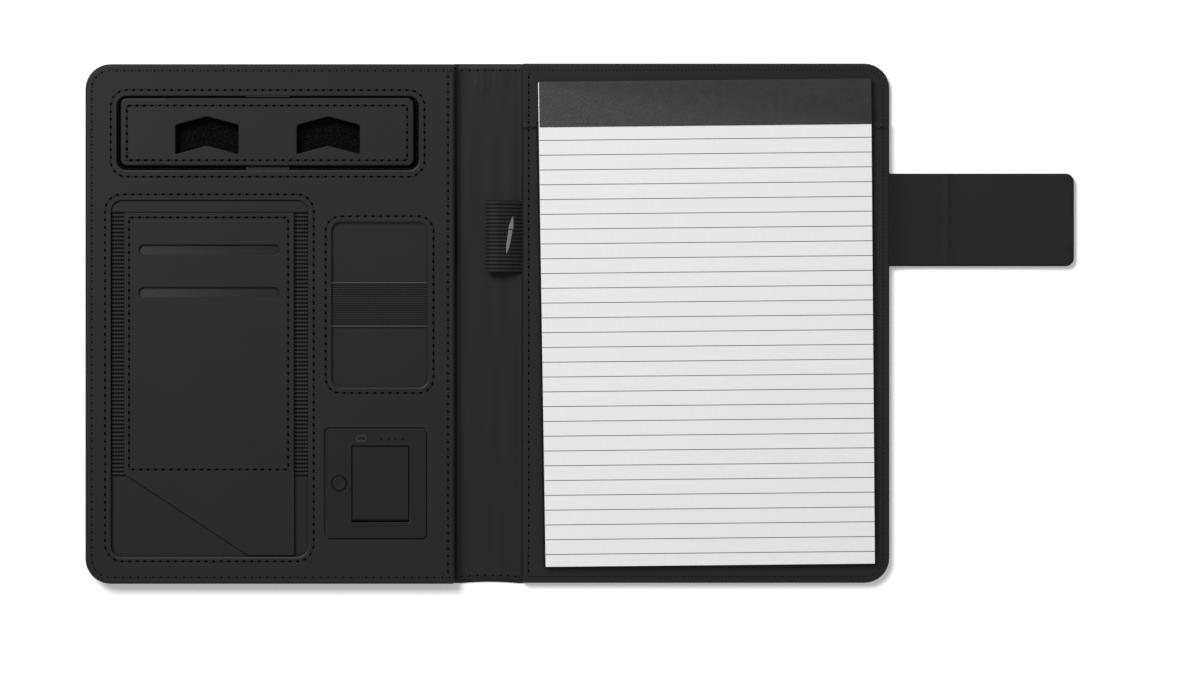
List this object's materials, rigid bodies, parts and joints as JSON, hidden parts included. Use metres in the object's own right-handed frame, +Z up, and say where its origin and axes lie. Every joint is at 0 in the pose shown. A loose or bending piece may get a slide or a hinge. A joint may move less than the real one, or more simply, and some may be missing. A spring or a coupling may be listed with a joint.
{
  "type": "power bank notebook",
  "caption": "Organiser folder with a note pad, phone and card pocket, cable bay, pen loop, magnetic strap and a built-in power bank with a flip-up port block.",
  "frame": {"origin": "centre of the open folder's footprint, strap included, on the surface it lies on", "axes": "+X across the open folder from the power bank cover to the strap, +Y up the page, +Z up from the table"},
  "size_m": [0.4293, 0.225, 0.0101],
  "materials": {
    "leather_outer": "fine-grained black imitation leather",
    "leather_lining": "smooth soft-touch black imitation leather",
    "thread": "black sewing thread",
    "board": "grey cardboard",
    "foam": "black foam board",
    "mesh": "black knit lining",
    "elastic": "black ribbed elastic",
    "plastic": "satin black moulded plastic",
    "light": "clear light guide and chips",
    "steel": "nickel-plated steel",
    "magnet": "nickel-plated magnet",
    "battery": "foil pouch cell",
    "lead_red": "red insulated lead",
    "circuit": "green circuit board",
    "paper": "white uncoated paper",
    "binding": "charcoal grained binding paper",
    "print": "thin grey ruled line"
  },
  "bodies": {
    "right_cover": {"right_outer_skin": "leather_outer", "right_board": "board", "right_lining": "leather_lining", "notepad_pocket": "leather_lining", "strap_anchor": "leather_outer"},
    "spine": {"spine_outer_skin": "leather_outer", "spine_lining": "leather_lining", "pen_loop": "elastic"},
    "left_cover": {"left_outer_skin": "leather_outer", "left_board": "board", "left_core": "foam", "left_lining": "leather_lining", "cable_bay_liner": "mesh", "cable_centre_band": "elastic", "cable_panel_centre": "leather_lining", "pocket_backing": "leather_lining", "gusset_left": "elastic", "gusset_right": "elastic", "band_window_backing": "leather_lining", "elastic_band": "elastic", "cover_magnet": "magnet", "battery_cell": "battery", "battery_lead_positive": "lead_red", "battery_lead_negative": "plastic", "powerbank_case": "plastic", "powerbank_bezel": "plastic", "circuit_board": "circuit", "tact_switch": "plastic", "led_light_pipe": "light", "led_1": "light", "led_2": "light", "led_3": "light", "led_4": "light", "case_screw_1": "steel", "case_screw_2": "steel", "case_screw_3": "steel", "case_screw_4": "steel", "port_ribbon": "plastic"},
    "cable_wing_left": {"cable_wing_left": "leather_lining"},
    "cable_wing_right": {"cable_wing_right": "leather_lining"},
    "phone_pocket": {"pocket_front": "leather_lining", "card_liner": "leather_lining"},
    "power_button": {"power_button": "plastic"},
    "port_block": {"port_block_cover": "plastic", "port_block_base": "plastic", "port_board": "circuit", "output_port_shell": "steel", "output_port_tongue": "plastic", "input_port_socket": "steel", "port_hinge_pin": "steel"},
    "strap_web": {"strap_web": "leather_outer"},
    "strap_tip": {"strap_tip_outer": "leather_outer", "strap_tip_inner": "leather_outer", "strap_magnet": "magnet"},
    "notepad": {"pad_backing": "board", "pad_sheets": "paper", "pad_binding": "binding"},
    "top_sheet": {"top_sheet": "paper"}
  },
  "joints": [
    {"name": "spine_fold", "type": "hinge", "parent": "right_cover", "child": "spine", "pos_m": [-0.02725, 0, 0.0004], "axis": [0, 1, 0], "range_deg": [0, 90]},
    {"name": "cover_fold", "type": "hinge", "parent": "spine", "child": "left_cover", "pos_m": [-0.05205, 0, 0.0004], "axis": [0, 1, 0], "range_deg": [0, 90]},
    {"name": "strap_base_fold", "type": "hinge", "parent": "right_cover", "child": "strap_web", "pos_m": [0.13625, 0.045, 0.0033], "axis": [0, -1, 0], "range_deg": [0, 88]},
    {"name": "strap_tip_fold", "type": "hinge", "parent": "strap_web", "child": "strap_tip", "pos_m": [0.15995, 0.045, 0.0041], "axis": [0, -1, 0], "range_deg": [0, 93]},
    {"name": "button_press", "type": "slide", "parent": "left_cover", "child": "power_button", "axis": [0, 0, -1], "range_m": [0, 0.0005], "stiffness_N_per_m": 300},
    {"name": "port_flip", "type": "hinge", "parent": "left_cover", "child": "port_block", "pos_m": [-0.08665, -0.0842, 0.0084], "axis": [-1, 0, 0], "range_deg": [-45, 0]},
    {"name": "pad_slide", "type": "slide", "parent": "right_cover", "child": "notepad", "axis": [0, -1, 0], "range_m": [-0.2, 0]},
    {"name": "sheet_turn", "type": "hinge", "parent": "notepad", "child": "top_sheet", "pos_m": [0.05507, 0.08625, 0.0101], "axis": [1, 0.0079, 0], "range_deg": [-175, 0]},
    {"name": "cable_wing_left_lift", "type": "hinge", "parent": "left_cover", "child": "cable_wing_left", "pos_m": [-0.14505, 0.0826, 0.0094], "axis": [0, -1, 0], "range_deg": [-60, 0]},
    {"name": "cable_wing_right_lift", "type": "hinge", "parent": "left_cover", "child": "cable_wing_right", "pos_m": [-0.12605, 0.0826, 0.0094], "axis": [0, 1, 0], "range_deg": [-60, 0]},
    {"name": "pocket_lift", "type": "hinge", "parent": "left_cover", "child": "phone_pocket", "pos_m": [-0.16105, -0.1012, 0.0091], "axis": [-1, 0, 0], "range_deg": [-5, 0], "deforming": ["gusset_left", "gusset_right"]}
  ]
}
